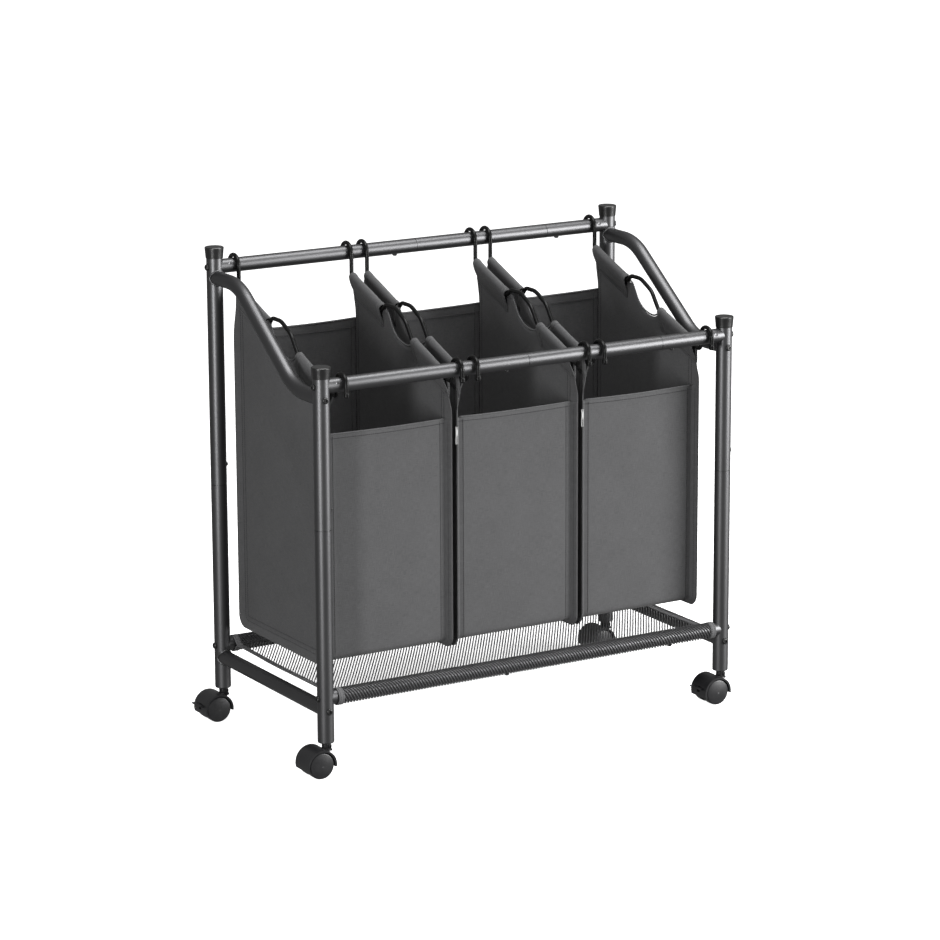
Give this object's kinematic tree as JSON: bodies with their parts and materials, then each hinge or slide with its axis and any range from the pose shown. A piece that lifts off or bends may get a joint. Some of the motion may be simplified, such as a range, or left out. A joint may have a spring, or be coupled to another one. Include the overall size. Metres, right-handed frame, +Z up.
{
  "type": "laundry sorter on castors",
  "caption": "Rolling tube-frame laundry sorter with lift-off fabric bags hung on wires between a high back rail and a low front rail, over a mesh shelf.",
  "frame": {"origin": "on the floor, midway between the four posts", "axes": "+X along the rails to the right when seen from the low front side, +Y towards the high back rail, +Z up"},
  "size_m": [0.7746, 0.374, 0.7458],
  "materials": {
    "grey_coated_steel": "satin dark grey powder coat",
    "black_plastic": "moulded black plastic, light sheen",
    "wheel_plastic": "hard black plastic, smooth",
    "coated_wire": "black vinyl dip coat",
    "bag_fabric": "plain woven polyester, dark grey",
    "mesh_fabric": "open knitted mesh, black",
    "woven_tape": "woven binding tape, grey",
    "zinc_steel": "bright zinc plate",
    "black_fastener": "black oxide"
  },
  "bodies": {
    "frame": {"front_left_lower_post": "grey_coated_steel", "front_left_upper_post": "grey_coated_steel", "front_right_lower_post": "grey_coated_steel", "front_right_upper_post": "grey_coated_steel", "back_left_lower_post": "grey_coated_steel", "back_left_upper_post": "grey_coated_steel", "back_right_lower_post": "grey_coated_steel", "back_right_upper_post": "grey_coated_steel", "post_caps": "black_plastic", "front_rail_left": "grey_coated_steel", "front_rail_middle": "grey_coated_steel", "front_rail_right": "grey_coated_steel", "back_rail_left": "grey_coated_steel", "back_rail_middle": "grey_coated_steel", "back_rail_right": "grey_coated_steel", "front_shelf_rail": "grey_coated_steel", "back_shelf_rail": "grey_coated_steel", "left_upper_side_tube": "grey_coated_steel", "left_lower_side_tube": "grey_coated_steel", "right_upper_side_tube": "grey_coated_steel", "right_lower_side_tube": "grey_coated_steel", "tube_nuts": "zinc_steel", "frame_bolts": "black_fastener", "joint_screws": "black_fastener", "castor_sockets": "black_plastic", "castor_stems": "zinc_steel", "shelf_mesh": "mesh_fabric", "shelf_edge_tapes": "woven_tape"},
    "left_bag": {"left_bag_body": "bag_fabric", "left_bag_left_panel": "bag_fabric", "left_bag_right_panel": "bag_fabric", "left_bag_wires": "coated_wire"},
    "middle_bag": {"middle_bag_body": "bag_fabric", "middle_bag_left_panel": "bag_fabric", "middle_bag_right_panel": "bag_fabric", "middle_bag_wires": "coated_wire"},
    "right_bag": {"right_bag_body": "bag_fabric", "right_bag_left_panel": "bag_fabric", "right_bag_right_panel": "bag_fabric", "right_bag_wires": "coated_wire"},
    "front_left_castor": {"front_left_castor_hood": "black_plastic", "front_left_castor_axle": "zinc_steel"},
    "front_left_front_wheel": {"front_left_front_wheel": "wheel_plastic"},
    "front_left_back_wheel": {"front_left_back_wheel": "wheel_plastic"},
    "front_right_castor": {"front_right_castor_hood": "black_plastic", "front_right_castor_axle": "zinc_steel"},
    "front_right_front_wheel": {"front_right_front_wheel": "wheel_plastic"},
    "front_right_back_wheel": {"front_right_back_wheel": "wheel_plastic"},
    "front_right_brake": {"front_right_brake_lever": "black_plastic"},
    "back_left_castor": {"back_left_castor_hood": "black_plastic", "back_left_castor_axle": "zinc_steel"},
    "back_left_front_wheel": {"back_left_front_wheel": "wheel_plastic"},
    "back_left_back_wheel": {"back_left_back_wheel": "wheel_plastic"},
    "back_left_brake": {"back_left_brake_lever": "black_plastic"},
    "back_right_castor": {"back_right_castor_hood": "black_plastic", "back_right_castor_axle": "zinc_steel"},
    "back_right_front_wheel": {"back_right_front_wheel": "wheel_plastic"},
    "back_right_back_wheel": {"back_right_back_wheel": "wheel_plastic"}
  },
  "joints": [
    {"name": "left_bag_lift", "type": "slide", "parent": "frame", "child": "left_bag", "axis": [0, 0, 1], "range_m": [0, 0.64]},
    {"name": "middle_bag_lift", "type": "slide", "parent": "frame", "child": "middle_bag", "axis": [0, 0, 1], "range_m": [0, 0.64]},
    {"name": "right_bag_lift", "type": "slide", "parent": "frame", "child": "right_bag", "axis": [0, 0, 1], "range_m": [0, 0.64]},
    {"name": "front_left_castor_swivel", "type": "hinge", "parent": "frame", "child": "front_left_castor", "pos_m": [-0.355, -0.166, 0.045], "axis": [0, 0, 1], "continuous": true},
    {"name": "front_left_front_wheel_roll", "type": "hinge", "parent": "front_left_castor", "child": "front_left_front_wheel", "pos_m": [-0.372, -0.166, 0.0205], "axis": [0, 1, 0], "continuous": true},
    {"name": "front_left_back_wheel_roll", "type": "hinge", "parent": "front_left_castor", "child": "front_left_back_wheel", "pos_m": [-0.372, -0.166, 0.0205], "axis": [0, 1, 0], "continuous": true},
    {"name": "front_right_castor_swivel", "type": "hinge", "parent": "frame", "child": "front_right_castor", "pos_m": [0.355, -0.166, 0.045], "axis": [0, 0, 1], "continuous": true},
    {"name": "front_right_front_wheel_roll", "type": "hinge", "parent": "front_right_castor", "child": "front_right_front_wheel", "pos_m": [0.338, -0.166, 0.0205], "axis": [0, 1, 0], "continuous": true},
    {"name": "front_right_back_wheel_roll", "type": "hinge", "parent": "front_right_castor", "child": "front_right_back_wheel", "pos_m": [0.338, -0.166, 0.0205], "axis": [0, 1, 0], "continuous": true},
    {"name": "front_right_brake_press", "type": "hinge", "parent": "front_right_castor", "child": "front_right_brake", "pos_m": [0.32399, -0.166, 0.02425], "axis": [0, -1, 0], "range_deg": [0, 9]},
    {"name": "back_left_castor_swivel", "type": "hinge", "parent": "frame", "child": "back_left_castor", "pos_m": [-0.355, 0.166, 0.045], "axis": [0, 0, 1], "continuous": true},
    {"name": "back_left_front_wheel_roll", "type": "hinge", "parent": "back_left_castor", "child": "back_left_front_wheel", "pos_m": [-0.372, 0.166, 0.0205], "axis": [0, 1, 0], "continuous": true},
    {"name": "back_left_back_wheel_roll", "type": "hinge", "parent": "back_left_castor", "child": "back_left_back_wheel", "pos_m": [-0.372, 0.166, 0.0205], "axis": [0, 1, 0], "continuous": true},
    {"name": "back_left_brake_press", "type": "hinge", "parent": "back_left_castor", "child": "back_left_brake", "pos_m": [-0.38601, 0.166, 0.02425], "axis": [0, -1, 0], "range_deg": [0, 9]},
    {"name": "back_right_castor_swivel", "type": "hinge", "parent": "frame", "child": "back_right_castor", "pos_m": [0.355, 0.166, 0.045], "axis": [0, 0, 1], "continuous": true},
    {"name": "back_right_front_wheel_roll", "type": "hinge", "parent": "back_right_castor", "child": "back_right_front_wheel", "pos_m": [0.338, 0.166, 0.0205], "axis": [0, 1, 0], "continuous": true},
    {"name": "back_right_back_wheel_roll", "type": "hinge", "parent": "back_right_castor", "child": "back_right_back_wheel", "pos_m": [0.338, 0.166, 0.0205], "axis": [0, 1, 0], "continuous": true}
  ]
}
